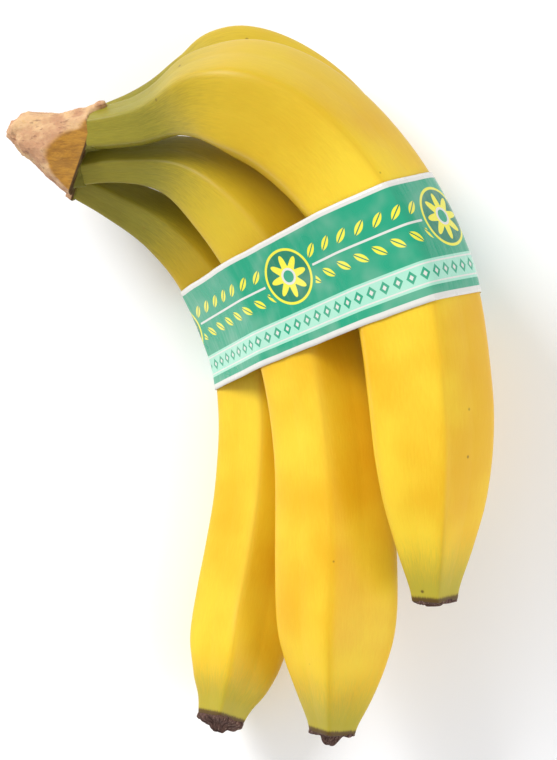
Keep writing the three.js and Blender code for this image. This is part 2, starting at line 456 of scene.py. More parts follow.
@dataclass(frozen=True)
class CrownFinish:
    """The crown's corky skin: pale and pinkish, honey brown on the smooth facet, with dark scars, and painted
    shade where the stalks leave it.
    """

    pale: str = "d0ab80"
    pink: str = "b98c6a"
    honey: str = "bb8420"
    dark_honey: str = "9a6816"
    scar: str = "6e4a3c"
    # the next two colours are painted shade where the stalks leave the crown: dark brown at the face's rim,
    # then dark olive on the face between the stalks
    shade: str = "4c3516"
    stalk: str = "6f6a26"

    def build(self, name: str) -> bpy.types.Material:
        """Builds the crown's material, under its name."""
        g = Graph(name)
        spot = g.place()
        broad = g.clouds(spot, 130, 3, 0.6)
        fibres = g.clouds(g.stretch(spot, (1, 3, 3)), 260, 4, 0.65)
        fine = g.clouds(spot, 1100, 3, 0.6)
        colour = g.mix(g.span(broad, 0.38, 0.62), linear(self.pink), linear(self.pale))
        smooth_face = g.mark("facet")
        honey = g.mix(g.span(fibres, 0.35, 0.65), linear(self.dark_honey), linear(self.honey))
        colour = g.mix(g.math("MULTIPLY", smooth_face, 0.9), colour, honey)
        patches = g.math("MULTIPLY", g.span(broad, 0.55, 0.7), g.span(fine, 0.4, 0.6))
        colour = g.mix(g.math("MULTIPLY", patches, 0.3), colour, linear(self.honey))
        scars = g.math("MULTIPLY", g.span(fibres, 0.54, 0.68), g.math("SUBTRACT", 1.0, smooth_face))
        colour = g.mix(g.math("MULTIPLY", scars, 0.55), colour, linear(self.scar))
        # painted shade where the stalks leave the crown: dark brown at the face's rim, then dark olive on the
        # face past it
        crease_shade = g.mark("crease_shade")
        colour = g.mix(g.span(crease_shade, 0.1, 0.5), colour, linear(self.shade))
        colour = g.mix(g.span(crease_shade, 0.75, 1.0), colour, linear(self.stalk))
        g.set(
            Base_Color=colour,
            Roughness=g.span(smooth_face, 0.0, 1.0, 0.88, 0.6),
            Specular_IOR_Level=0.3,
            Subsurface_Weight=0.08,
            Subsurface_Radius=(1.0, 0.6, 0.3),
            Subsurface_Scale=0.003,
        )
        g.relief(g.math("ADD", fibres, g.math("MULTIPLY", fine, 0.5)), 0.0006, 0.7)
        return g.material


@dataclass(frozen=True)
class DriedFlowerFinish:
    """The dried flower's dark, dusty fibres."""

    dark: str = "43302b"
    brown: str = "6b5048"
    dust: str = "b09a86"

    def build(self, name: str) -> bpy.types.Material:
        """Builds the dried flower's material, under its name."""
        g = Graph(name)
        skin = g.mark("skin", vector=True)
        fibres = g.clouds(g.stretch(skin, (9, 9, 2)), 1.0, 4, 0.7)
        fine = g.clouds(g.place(), 1500, 3, 0.65)
        colour = g.mix(g.span(fibres, 0.35, 0.6), linear(self.dark), linear(self.brown))
        dust = g.math("MULTIPLY", g.span(fine, 0.5, 0.66), g.span(fibres, 0.45, 0.65))
        colour = g.mix(g.math("MULTIPLY", dust, 0.75), colour, linear(self.dust))
        g.set(Base_Color=colour, Roughness=0.92, Specular_IOR_Level=0.2)
        g.relief(g.math("ADD", fibres, fine), 0.0006, 0.8)
        return g.material


@dataclass(frozen=True)
class BandPrint:
    """Glossy film printed with stripes, sun medallions and rows of small leaves."""

    width: float
    green: str = "0b9a74"
    deep_green: str = "087a5c"
    mint: str = "9fd8c0"
    white: str = "d8d6cf"
    yellow: str = "e9e23a"
    border: float = 1.9
    medallion_pitch: float = 62.0
    medallion_start: float = 31.0
    medallion_radius: float = 9.4

    def build(self, name: str) -> bpy.types.Material:
        """Builds the film's material, under its name."""
        g = Graph(name)
        split = g.add("ShaderNodeSeparateXYZ")
        g.feed(split.inputs[0], g.mark("print", vector=True))
        u, v = split.outputs[0], split.outputs[1]
        colour = self._sprigs(g, u, v, linear(self.green))
        colour = self._medallions(g, u, v, colour)
        colour = self._stripes(g, u, v, colour)
        # milky white patches, partly the film's own milkiness and partly a painted sheen for its soft whitish
        # reflections; the same noise varies the roughness
        milk_and_sheen = g.clouds(g.place(), 90, 2)
        colour = g.mix(g.span(milk_and_sheen, 0.4, 0.75, 0.0, 0.14), colour, linear(self.white))
        creases = g.clouds(g.stretch(g.mark("print", vector=True), (0.28, 0.05, 0.28)), 1.0, 2, 0.5)
        g.set(
            Base_Color=colour,
            Roughness=g.span(milk_and_sheen, 0.3, 0.7, 0.24, 0.36),
            Specular_IOR_Level=0.5,
            Coat_Weight=0.35,
            Coat_Roughness=0.12,
        )
        g.relief(creases, 0.0009, 0.55)
        return g.material

    def _cell(self, g: Graph, value: Socket, start: float, pitch: float) -> Socket:
        """Measures the distance from the middle of the nearest cell, with its sign."""
        moved = g.math("DIVIDE", g.math("SUBTRACT", value, start), pitch)
        return g.math("MULTIPLY", g.math("SUBTRACT", moved, g.math("ROUND", moved)), pitch)

    def _leaf(self, g: Graph, x: Socket, y: Socket, length: float, width: float) -> Socket:
        """Draws a pointed leaf along x where two circles overlap.

        Args:
            g: the graph.
            x: distance along the leaf from its middle.
            y: distance across it.
            length: its length.
            width: its width.

        Returns:
            One inside the leaf.
        """
        half, rise = length / 2, width / 2
        radius = (half**2 + rise**2) / (2 * rise)
        offset = radius - rise
        above = g.math("POWER", g.math("ADD", g.math("ABSOLUTE", y), offset), 2.0)
        reach = g.math("SQRT", g.math("ADD", g.math("POWER", x, 2.0), above))
        return g.span(g.math("SUBTRACT", radius, reach), -0.06, 0.06)

    def _sprigs(self, g: Graph, u: Socket, v: Socket, colour: Value) -> Socket:
        """Prints two rows of slanted leaves either side of a thin stem."""
        for row, (middle, slant) in enumerate(((9.6, 0.75), (18.4, -0.75))):
            x = self._cell(g, u, 3.1 * row, 6.2)
            y = g.math("SUBTRACT", v, middle)
            c, s = math.cos(slant), math.sin(slant)
            along = g.math("ADD", g.math("MULTIPLY", x, c), g.math("MULTIPLY", y, s))
            across = g.math("SUBTRACT", g.math("MULTIPLY", y, c), g.math("MULTIPLY", x, s))
            leaf = self._leaf(g, along, across, 5.6, 2.3)
            colour = g.mix(leaf, colour, linear(self.yellow))
            vein = g.math("MULTIPLY", leaf, g.span(g.math("ABSOLUTE", across), 0.24, 0.14))
            colour = g.mix(vein, colour, linear(self.deep_green))
        stem = g.span(g.math("ABSOLUTE", g.math("SUBTRACT", v, 14.0)), 0.42, 0.3)
        return g.mix(stem, colour, linear(self.white))

    def _medallions(self, g: Graph, u: Socket, v: Socket, colour: Value) -> Socket:
        """Prints round medallions, each with a ring and an eight-petalled sun."""
        x = self._cell(g, u, self.medallion_start, self.medallion_pitch)
        y = g.math("SUBTRACT", v, 14.0)
        reach = g.math("SQRT", g.math("ADD", g.math("POWER", x, 2.0), g.math("POWER", y, 2.0)))
        edge = self.medallion_radius
        colour = g.mix(g.span(reach, edge + 1.3, edge + 1.15), colour, linear(self.green))
        colour = g.mix(g.span(reach, edge + 0.1, edge - 0.05), colour, linear(self.yellow))
        colour = g.mix(g.span(reach, edge - 0.75, edge - 0.9), colour, linear(self.deep_green))
        turn = g.math("MULTIPLY", g.math("ARCTAN2", y, x), 8.0)
        petal = g.math("MULTIPLY_ADD", g.math("COSINE", turn), 1.9, 5.4)
        sun = g.span(g.math("SUBTRACT", petal, reach), -0.08, 0.08)
        colour = g.mix(sun, colour, linear(self.yellow))
        colour = g.mix(g.span(reach, 2.9, 2.75), colour, linear(self.white))
        return g.mix(g.span(reach, 2.1, 1.95), colour, linear(self.green))

    def _stripes(self, g: Graph, u: Socket, v: Socket, colour: Value) -> Socket:
        """Prints the white edges and the pale stripe with its row of diamonds."""
        pale = g.math("MULTIPLY", g.span(v, 25.6, 25.75), g.span(v, 33.6, 33.45))
        colour = g.mix(pale, colour, linear(self.mint))
        x = self._cell(g, u, 0.0, 4.4)
        y = g.math("SUBTRACT", v, 29.5)
        spread = g.math("ADD", g.math("ABSOLUTE", x), g.math("MULTIPLY", g.math("ABSOLUTE", y), 0.8))
        diamond = g.span(spread, 1.75, 1.6)
        colour = g.mix(diamond, colour, linear(self.green))
        colour = g.mix(g.span(spread, 0.8, 0.65), colour, linear(self.white))
        for middle in (26.6, 32.5):
            line = g.span(g.math("ABSOLUTE", g.math("SUBTRACT", v, middle)), 0.3, 0.18)
            colour = g.mix(line, colour, linear(self.white))
        near = g.span(v, self.border, self.border - 0.15)
        far = g.span(v, self.width - self.border - 0.15, self.width - self.border)
        return g.mix(g.math("MAXIMUM", near, far), colour, linear(self.white))


@dataclass
class Banana:
    """One banana: a thin stalk, a five-ridged body and a blunt flower end."""

    side: Side
    spine: Sequence[Point]
    radii: Sequence[tuple[float, float]]
    first_ridge: float
    seed: float
    twist: float = 0.25
    ridge_softness: float = 0.08
    flat_body: float = 0.72
    flat_ends: float = 0.9
    rings: int = 250
    sides: int = 120
    rest_level: float = -1.45
    curve: Array = field(init=False)
    shares: Array = field(init=False)
    length: float = field(init=False)
    outline: Array = field(init=False)

    def __post_init__(self) -> None:
        """Draws the spine and the outline once."""
        self.curve = catmull_rom(np.array(self.spine, float), reflect=True)
        steps = np.linalg.norm(np.diff(self.curve, axis=0), axis=1)
        run = np.concatenate([[0], np.cumsum(steps)])
        self.length = float(run[-1])
        self.shares = run / self.length
        self.outline = catmull_rom(np.array(self.radii, float), reflect=False)

    def centre(self, share: Array) -> Array:
        """Finds points on the spine at shares of its length."""
        return np.stack([np.interp(share, self.shares, self.curve[:, k]) for k in range(3)], -1)

    def axes(self, share: Array) -> tuple[Array, Array, Array]:
        """Finds the directions along, up and across the spine at shares of its length."""
        step = 0.004
        along = self.centre(np.clip(share + step, 0, 1)) - self.centre(np.clip(share - step, 0, 1))
        along /= np.linalg.norm(along, axis=-1, keepdims=True)
        up = np.array([0.0, 0.0, 1.0]) - along * along[..., 2:3]
        up /= np.linalg.norm(up, axis=-1, keepdims=True)
        return along, up, np.cross(along, up)

    def radius(self, share: Array) -> Array:
        """Reads the ridge radius at shares of the spine's length."""
        return np.interp(share, self.outline[:, 0], self.outline[:, 1])

    def skin_share(self, angle: Array, share: Array) -> tuple[Array, Array]:
        """Shapes the section between its ridges.

        Args:
            angle: the angle from the first ridge.
            share: the share of the spine's length.

        Returns:
            The share of the ridge radius that the skin reaches, and one on a ridge to nought
            midway between two.
        """
        half = math.pi / RIDGES
        from_ridge = angle - 2 * half * np.round(angle / (2 * half))
        soft = np.hypot(from_ridge, self.ridge_softness) - self.ridge_softness
        ends = 1 - smooth(share, 0.1, 0.35) + smooth(share, 0.75, 0.98)
        flat = self.flat_body + (self.flat_ends - self.flat_body) * ends
        return (
            1 - flat * (1 - math.cos(half) / np.cos(half - soft)),
            1 - np.abs(from_ridge) / half,
        )

    def surface(
        self, share: Array, angle: Array, grow: float = 0.0, alive: bool = True
    ) -> tuple[Array, Array]:
        """Finds points on the skin.

        Args:
            share: shares of the spine's length.
            angle: angles round the spine from its first ridge.
            grow: how far the skin is moved out.
            alive: whether the skin has its small swells and hollows.

        Returns:
            The points, and how near each is to a ridge.
        """
        reach, ridge = self.skin_share(angle, share)
        radius = self.radius(share)
        if alive:
            cue = np.stack([np.cos(angle) * 1.2, np.sin(angle) * 1.2, share * self.length / 22], -1)
            swell = grain(cue.reshape(-1, 3), 1.0, self.seed).reshape(share.shape)
            reach = reach * (1 + 0.012 * swell)
        along, up, across = self.axes(share)
        turn = angle + self.first_ridge + self.twist * share
        r = (radius * reach + grow)[..., None]
        points = self.centre(share) + r * (up * np.cos(turn)[..., None] + across * np.sin(turn)[..., None])
        points[..., 2] = np.maximum(points[..., 2], self.rest_level)
        return points, ridge

    def build(self, shift: Array) -> bpy.types.Object:
        """Builds the banana's skin as one closed mesh.

        Args:
            shift: from the hand's own frame to the row's, in millimetres.

        Returns:
            The banana.
        """
        share = np.concatenate([np.linspace(0, 0.85, self.rings - 70), np.linspace(0.852, 1, 70)])
        angle = turns(self.sides)
        s, a = np.meshgrid(share, angle, indexing="ij")
        points, ridge = self.surface(s, a)
        along, _, _ = self.axes(np.array([0.0, 1.0]))
        tip = points[-1].mean(axis=0)
        inner = tip + (points[-1] - tip) * 0.82 + along[1] * 0.4
        root = points[0].mean(axis=0)
        vertices = np.vstack([points.reshape(-1, 3), inner, tip + along[1] * 0.4, root])
        rings = len(share) + 1
        faces = grid_faces(rings, self.sides)
        last, end, start = (rings - 1) * self.sides, rings * self.sides, rings * self.sides + 1
        for j in range(self.sides):
            k = (j + 1) % self.sides
            faces += [(last + j, last + k, end), (k, j, start)]
        ones = np.ones(self.sides)
        skin = np.stack([np.cos(a), np.sin(a), s * self.length / 18], -1).reshape(-1, 3)
        marks = {
            "share": np.concatenate([s.ravel(), ones, [1.0, 0.0]]),
            "ridge": np.concatenate([ridge.ravel(), ridge[-1], [0.0, 0.0]]),
            "skin": np.vstack([skin, skin[-self.sides :], skin[-1:], skin[:1]]),
        }
        return make_mesh(f"{self.side.value}_banana_skin", vertices + shift, faces, marks)


@dataclass
class FlowerEnd:
    """The dried remains of the flower: a frayed button with a small knob, on the blunt end."""

    banana: Banana
    length: float
    knob: float
    tilt: float = 0.0
    root: float = 1.6
    sides: int = 144

    def build(self, shift: Array) -> bpy.types.Object:
        """Builds the dried flower end as one closed mesh.

        Args:
            shift: from the hand's own frame to the row's, in millimetres.

        Returns:
            The flower end.
        """
        b = self.banana
        one = np.array([1.0])
        along, up, across = (axis[0] for axis in b.axes(one))
        c, s = math.cos(self.tilt), math.sin(self.tilt)
        along, up = c * along + s * up, c * up - s * along
        start = b.centre(one)[0] - along * self.root
        radius = float(b.radius(one)[0]) * 0.99
        # out of the peel, round the frayed edge, over the sunken face and up the knob
        profile = catmull_rom(
            np.array(
                [
                    (radius * 0.93, 0.0),
                    (radius * 1.0, self.root + 0.22 * self.length),
                    (radius * 0.9, self.root + 0.5 * self.length),
                    (radius * 0.68, self.root + 0.62 * self.length),
                    (radius * 0.48, self.root + 0.72 * self.length),
                    (radius * 0.33, self.root + self.length + self.knob * 0.55),
                    (radius * 0.18, self.root + self.length + self.knob),
                    (0.03, self.root + self.length + self.knob * 1.05),
                ]
            ),
            reflect=False,
            samples=7,
        )
        angle = turns(self.sides)
        rim = b.surface(np.ones((1, self.sides)), angle[None, :])[0][0]
        corners = np.linalg.norm(rim - b.centre(one)[0], axis=1) / b.radius(one)[0]
        angle = angle + b.first_ridge + b.twist
        r, h = (np.repeat(profile[:, k : k + 1], self.sides, axis=1) for k in (0, 1))
        a = np.repeat(angle[None, :], len(profile), axis=0)
        around = np.stack([np.cos(a), np.sin(a), r * 0.14], -1).reshape(-1, 3)
        broad = grain(around * np.array([1.1, 1.1, 0.5]), 1.0, b.seed + 40).reshape(r.shape)
        ragged = grain(around * np.array([3.2, 3.2, 1.0]), 1.0, b.seed + 50).reshape(r.shape)
        fibre = grain(around * np.array([9.0, 9.0, 1.6]), 1.0, b.seed + 60).reshape(r.shape)
        edge = smooth(r, radius * 0.3, radius * 0.95) * smooth(h, self.root * 0.8, self.root * 1.6)
        h = h + edge * (0.3 * broad + 0.4 * ragged + 0.35 * fibre)
        r = r * corners * (1 + 0.07 * broad + 0.05 * ragged + 0.04 * fibre * smooth(h, 0.3, 1.2))
        h = h + (0.3 * fibre + 0.35 * ragged) * smooth(h, 0.8, 2.0)
        lean = smooth(h, 1.5, 1.5 + self.length + self.knob) * self.knob * 0.35
        points = start + (
            h[..., None] * along
            + (r * np.cos(a))[..., None] * up
            + (r * np.sin(a) + lean)[..., None] * across
        )
        vertices = np.vstack([points.reshape(-1, 3), start])
        rings = len(profile)
        faces = grid_faces(rings, self.sides)
        centre = rings * self.sides
        faces += [((j + 1) % self.sides, j, centre) for j in range(self.sides)]
        last = (rings - 1) * self.sides
        faces.append(tuple(last + j for j in range(self.sides)))
        skin = np.stack([np.cos(a), np.sin(a), h * 0.3], -1).reshape(-1, 3)
        marks = {"skin": np.vstack([skin, [[0.0, 0.0, 0.0]]])}
        return make_mesh(f"{b.side.value}_dried_flower", vertices + shift, faces, marks)


@dataclass
class Crown:
    """The woody cushion that the stalks grow from, cut through at its far end."""

    bananas: Sequence[Banana]
    cut: Point = (-74.8, 78.2, 35.2)
    face: Point = (-50.3, 71.2, 34.4)
    slant: float = -0.38
    stations: Sequence[tuple[float, float, float, float]] = (
        (0.0, 0.0, 1.0, 3.2),
        (0.05, 0.2, 2.8, 5.6),
        (0.2, 1.1, 6.2, 8.6),
        (0.38, 1.0, 7.9, 10.6),
        (0.67, 0.2, 10.6, 13.6),
        (1.0, 0.0, 12.8, 16.6),
    )
    boxiness: float = 2.5
    collar: float = 0.6
    collar_wall: float = 0.7
    voxel: float = 0.5
    block_sides: int = 64
    tube_rings: int = 14
    tube_sides: int = 48
    lump_rings: int = 22
    lump_sides: int = 28
    lumps: Sequence[tuple[Point, Point, float, float]] = (
        ((-66.0, 78.6, 40.0), (-42.5, 85.6, 44.8), 3.2, 1.7),
        ((-46.8, 85.4, 44.8), (-43.4, 86.6, 46.0), 1.3, 1.0),
    )
    plane_point: Point = (-56.0, 71.0, 46.5)
    plane_normal: Point = (0.06, -0.32, 0.94)

    def past_face(self, points: Array) -> Array:
        """Says how far points lie past the slanted face, towards the bananas."""
        offset = points - np.array(self.face)
        return offset[:, 0] + self.slant * offset[:, 1]

    def block(self) -> Shell:
        """Lofts the cushion from the cut to its slanted face.

        Returns:
            Its vertices and faces.
        """
        cut, face = np.array(self.cut), np.array(self.face)
        curve = catmull_rom(np.array(self.stations, float), reflect=False, samples=8)
        angle = turns(self.block_sides)
        c, s = np.cos(angle), np.sin(angle)
        rounding = (np.abs(c) ** self.boxiness + np.abs(s) ** self.boxiness) ** (-1 / self.boxiness)
        rings = []
        for share, rise, wide, high in curve:
            x, z = wide * rounding * s, high * rounding * c
            lean = np.stack([share * self.slant * x, rise - x, z], -1)
            rings.append(cut + share * (face - cut) + lean)
        ends = [rings[0].mean(axis=0, keepdims=True), rings[-1].mean(axis=0, keepdims=True)]
        sides = self.block_sides
        faces = grid_faces(len(rings), sides)
        start, last = len(rings) * sides, (len(rings) - 1) * sides
        for j in range(sides):
            k = (j + 1) % sides
            faces += [(k, j, start), (last + j, last + k, start + 1)]
        return np.vstack([*rings, *ends]), faces

    def tube(self, banana: Banana) -> Shell:
        """Makes the short collar round one stalk.

        Args:
            banana: whose stalk it is.

        Returns:
            Its vertices and faces.
        """
        shares = np.linspace(0, 0.2, 200)
        beyond = self.past_face(banana.centre(shares)) > 0
        reach = float(shares[np.argmax(beyond)]) + self.collar / banana.length
        s, a = np.meshgrid(
            np.linspace(0, reach, self.tube_rings), turns(self.tube_sides), indexing="ij"
        )
        points, _ = banana.surface(s, a, grow=self.collar_wall, alive=False)
        ends = np.stack([points[0].mean(axis=0), points[-1].mean(axis=0)])
        sides = self.tube_sides
        faces = grid_faces(self.tube_rings, sides)
        start, last = self.tube_rings * sides, (self.tube_rings - 1) * sides
        for j in range(sides):
            k = (j + 1) % sides
            faces += [(k, j, start), (last + j, last + k, start + 1)]
        return np.vstack([points.reshape(-1, 3), ends]), faces

    def lump(self, start: Point, end: Point, thick: float, thin: float) -> Shell:
        """Makes a rounded finger of cork between two points.

        Args:
            start: its thick end.
            end: its thin end.
            thick: the radius at its start.
            thin: the radius at its end.

        Returns:
            Its vertices and faces.
        """
        a, b = np.array(start), np.array(end)
        along = (b - a) / np.linalg.norm(b - a)
        side = np.cross(along, [0.0, 0.0, 1.0])
        side /= np.linalg.norm(side)
        up = np.cross(side, along)
        t = np.linspace(0.02, math.pi - 0.02, self.lump_rings)
        share = (1 - np.cos(t)) / 2
        angle = turns(self.lump_sides)
        radius = (thick + (thin - thick) * share) * np.sin(t) ** 0.6
        rings = [
            a + (b - a) * q + r * (np.outer(np.cos(angle), up) + np.outer(np.sin(angle), side))
            for q, r in zip(share, radius)
        ]
        sides = self.lump_sides
        last = (self.lump_rings - 1) * sides
        faces = grid_faces(self.lump_rings, sides)
        faces += [tuple(reversed(range(sides))), tuple(last + j for j in range(sides))]
        return np.vstack(rings), faces

    def build(self, shift: Array) -> bpy.types.Object:
        """Joins the cushion, collars and cork into one skin and roughens it.

        Args:
            shift: from the hand's own frame to the row's, in millimetres.

        Returns:
            The crown.
        """
        parts = [
            self.block(),
            *(self.tube(b) for b in self.bananas),
            *(self.lump(*sizes) for sizes in self.lumps),
        ]
        vertices, faces, count = [], [], 0
        for points, polygons in parts:
            vertices.append(points)
            faces += [tuple(count + i for i in polygon) for polygon in polygons]
            count += len(points)
        rough = make_mesh("crown_parts", np.vstack(vertices), faces)
        remesh = rough.modifiers.new("skin", "REMESH")
        remesh.mode = "VOXEL"
        remesh.voxel_size = self.voxel * MM
        relax = rough.modifiers.new("relax", "SMOOTH")
        relax.iterations = 5
        bpy.context.view_layer.update()
        graph = bpy.context.evaluated_depsgraph_get()
        joined = bpy.data.meshes.new_from_object(rough.evaluated_get(graph))
        bpy.data.objects.remove(rough)
        points = np.empty(len(joined.vertices) * 3)
        normals = np.empty(len(joined.vertices) * 3)
        joined.vertices.foreach_get("co", points)
        joined.vertices.foreach_get("normal", normals)
        points, normals = points.reshape(-1, 3) / MM, normals.reshape(-1, 3)
        shape, facet, crease_shade = self.weather(points, normals)
        polygons = [tuple(p.vertices) for p in joined.polygons]
        bpy.data.meshes.remove(joined)
        marks = {"facet": facet, "crease_shade": crease_shade}
        return make_mesh("crown_skin", shape + shift, polygons, marks)

    def weather(self, points: Array, normals: Array) -> tuple[Array, Array, Array]:
        """Planes the smooth facet and raises the cork round it.

        Args:
            points: the skin's vertices.
            normals: their outward normals.

        Returns:
            The new vertices, how smooth each is, and how much painted shade each takes where the stalks leave
            the crown.
        """
        normal = np.array(self.plane_normal) / np.linalg.norm(self.plane_normal)
        above = (points - np.array(self.plane_point)) @ normal
        facet = smooth(above, -0.8, 0.5)
        shape = points - np.clip(above, 0, None)[:, None] * normal
        broad = grain(shape, 0.16, 3.0)
        lumps = grain(shape * np.array([0.7, 1.0, 1.0]), 0.42, 9.0)
        fine = grain(shape, 1.1, 17.0)
        near_cut = smooth(shape[:, 0], -66, -74)
        cork = (0.55 * broad + 0.4 * lumps + 0.16 * fine) * (1 - 0.75 * facet)
        cork = cork + near_cut * (0.5 * lumps + 0.3 * fine)
        shape = shape + cork[:, None] * normals
        # painted shade past the slanted face, where the stalks leave the crown, fading out on the side where y
        # passes 79 mm
        crease_shade = smooth(self.past_face(shape), -1.1, 0.5) * (1 - smooth(shape[:, 1], 79, 82))
        return shape, facet, crease_shade


@dataclass
class Band:
    """The printed film: a strip drawn taut round all the bananas and welded into a ring."""

    bananas: Sequence[Banana]
    near_point: Point = (41.4, 59.0, 80.0)
    near_normal: Point = (0.37, -0.926, 0.08)
    far_point: Point = (49.9, 22.0, 82.0)
    far_normal: Point = (0.3, -0.95, 0.08)
    width: float = 38.0
    gap: float = 0.35
    thickness: float = 0.16
    rows: int = 36
    columns: int = 560
    loop: float = 0.0

    def plane(self, part: float) -> tuple[Array, Array, Array, Array]:
        """Finds the plane of one row across the band's width.

        Args:
            part: nought at the near edge and one at the far edge.

        Returns:
            A point in it, its normal, and the directions across and up in it.
        """
        origin = np.array(self.near_point) * (1 - part) + np.array(self.far_point) * part
        normal = np.array(self.near_normal) * (1 - part) + np.array(self.far_normal) * part
        normal /= np.linalg.norm(normal)
        across = np.cross([0.0, 0.0, 1.0], normal)
        across /= np.linalg.norm(across)
        return origin, normal, across, np.cross(normal, across)

    def section(self, skins: Sequence[Array], part: float) -> Array:
        """Cuts the bananas' skins with the plane of one row.

        Args:
            skins: each banana's points, as lines along it.
            part: which row.

        Returns:
            Points in the plane, as distances across and up.
        """
        origin, normal, across, up = self.plane(part)
        found = []
        for lines in skins:
            depth = (lines - origin) @ normal
            i, j = np.nonzero(depth[:-1] * depth[1:] <= 0)
            part_way = depth[i, j] / (depth[i, j] - depth[i + 1, j])
            hits = lines[i, j] + part_way[:, None] * (lines[i + 1, j] - lines[i, j]) - origin
            found.append(np.stack([hits @ across, hits @ up], -1))
        return np.vstack(found)

    def ring(self, points: Array, middle: Array, gap: float, angle: Array) -> Array:
        """Draws the taut outline round points in a plane.

        Args:
            points: the points, as distances across and up.
            middle: the point that the angles turn about.
            gap: how far the outline stays off the points.
            angle: the directions to draw.

        Returns:
            The outline's points.
        """
        turns = np.linspace(0, 2 * math.pi, 720, endpoint=False)
        normals = np.stack([np.cos(turns), np.sin(turns)], -1)
        reach = ((points - middle) @ normals.T).max(axis=0) + gap
        facing = np.cos(angle[:, None] - turns[None, :])
        radius = np.where(facing > 0.25, reach / np.maximum(facing, 0.25), np.inf).min(axis=1)
        return middle + radius[:, None] * np.stack([np.cos(angle), np.sin(angle)], -1)

    def build(self, shift: Array) -> bpy.types.Object:
        """Builds the film with its two faces and edges.

        Args:
            shift: from the hand's own frame to the row's, in millimetres.

        Returns:
            The band.
        """
        share = np.linspace(0, 1, 150)
        angles = np.linspace(0, 2 * math.pi, 240, endpoint=False)
        s, a = np.meshgrid(share, angles, indexing="ij")
        skins = [banana.surface(s, a)[0] for banana in self.bananas]
        angle = np.linspace(0, 2 * math.pi, self.columns, endpoint=False)
        inner, outer = [], []
        for row in range(self.rows + 1):
            part = row / self.rows
            origin, _, across, up = self.plane(part)
            points = self.section(skins, part)
            middle = (points.max(axis=0) + points.min(axis=0)) / 2
            for gap, rows in ((self.gap, inner), (self.gap + self.thickness, outer)):
                flat = self.ring(points, middle, gap, angle)
                rows.append(origin + flat[:, :1] * across + flat[:, 1:] * up)
        inside, outside = np.array(inner), np.array(outer)
        middle_row = outside[self.rows // 2]
        steps = np.linalg.norm(np.roll(middle_row, -1, axis=0) - middle_row, axis=1)
        self.loop = float(steps.sum())
        run = np.concatenate([[0], np.cumsum(steps)[:-1]])
        ripple = self.ripples(outside, run)
        inside, outside = inside + ripple, outside + ripple
        vertices = np.vstack([outside.reshape(-1, 3), inside[::-1].reshape(-1, 3)])
        rings = 2 * (self.rows + 1)
        faces = grid_faces(rings, self.columns, closed_rings=True)
        across_mm = np.linspace(0, self.width, self.rows + 1)
        v, u = np.meshgrid(across_mm, run, indexing="ij")
        print_outer = np.stack([u, v, np.zeros_like(u)], -1)
        marks = {"print": np.vstack([print_outer.reshape(-1, 3), print_outer[::-1].reshape(-1, 3)])}
        return make_mesh("film_band", vertices + shift, faces, marks)

    def ripples(self, outside: Array, run: Array) -> Array:
        """Works out the film's small puckers, outwards only.

        Args:
            outside: the outer face's points, row by row.
            run: the distance round the band of each column.

        Returns:
            How far each point moves.
        """
        rows, columns, _ = outside.shape
        middle = outside.mean(axis=(0, 1))
        out = outside - middle
        out /= np.linalg.norm(out, axis=-1, keepdims=True)
        part = np.linspace(0, 1, rows)[:, None] * np.ones((1, columns))
        turn = run[None, :] * np.ones((rows, 1)) * 2 * math.pi / self.loop
        cue = np.stack([np.cos(turn) * 5.5, np.sin(turn) * 5.5, part * 0.9], -1).reshape(-1, 3)
        swell = np.clip(grain(cue, 1.0, 5.0).reshape(rows, columns), 0, None)
        edge = smooth(np.abs(part - 0.5), 0.25, 0.5)
        return (swell * (0.12 + 0.3 * edge))[..., None] * out


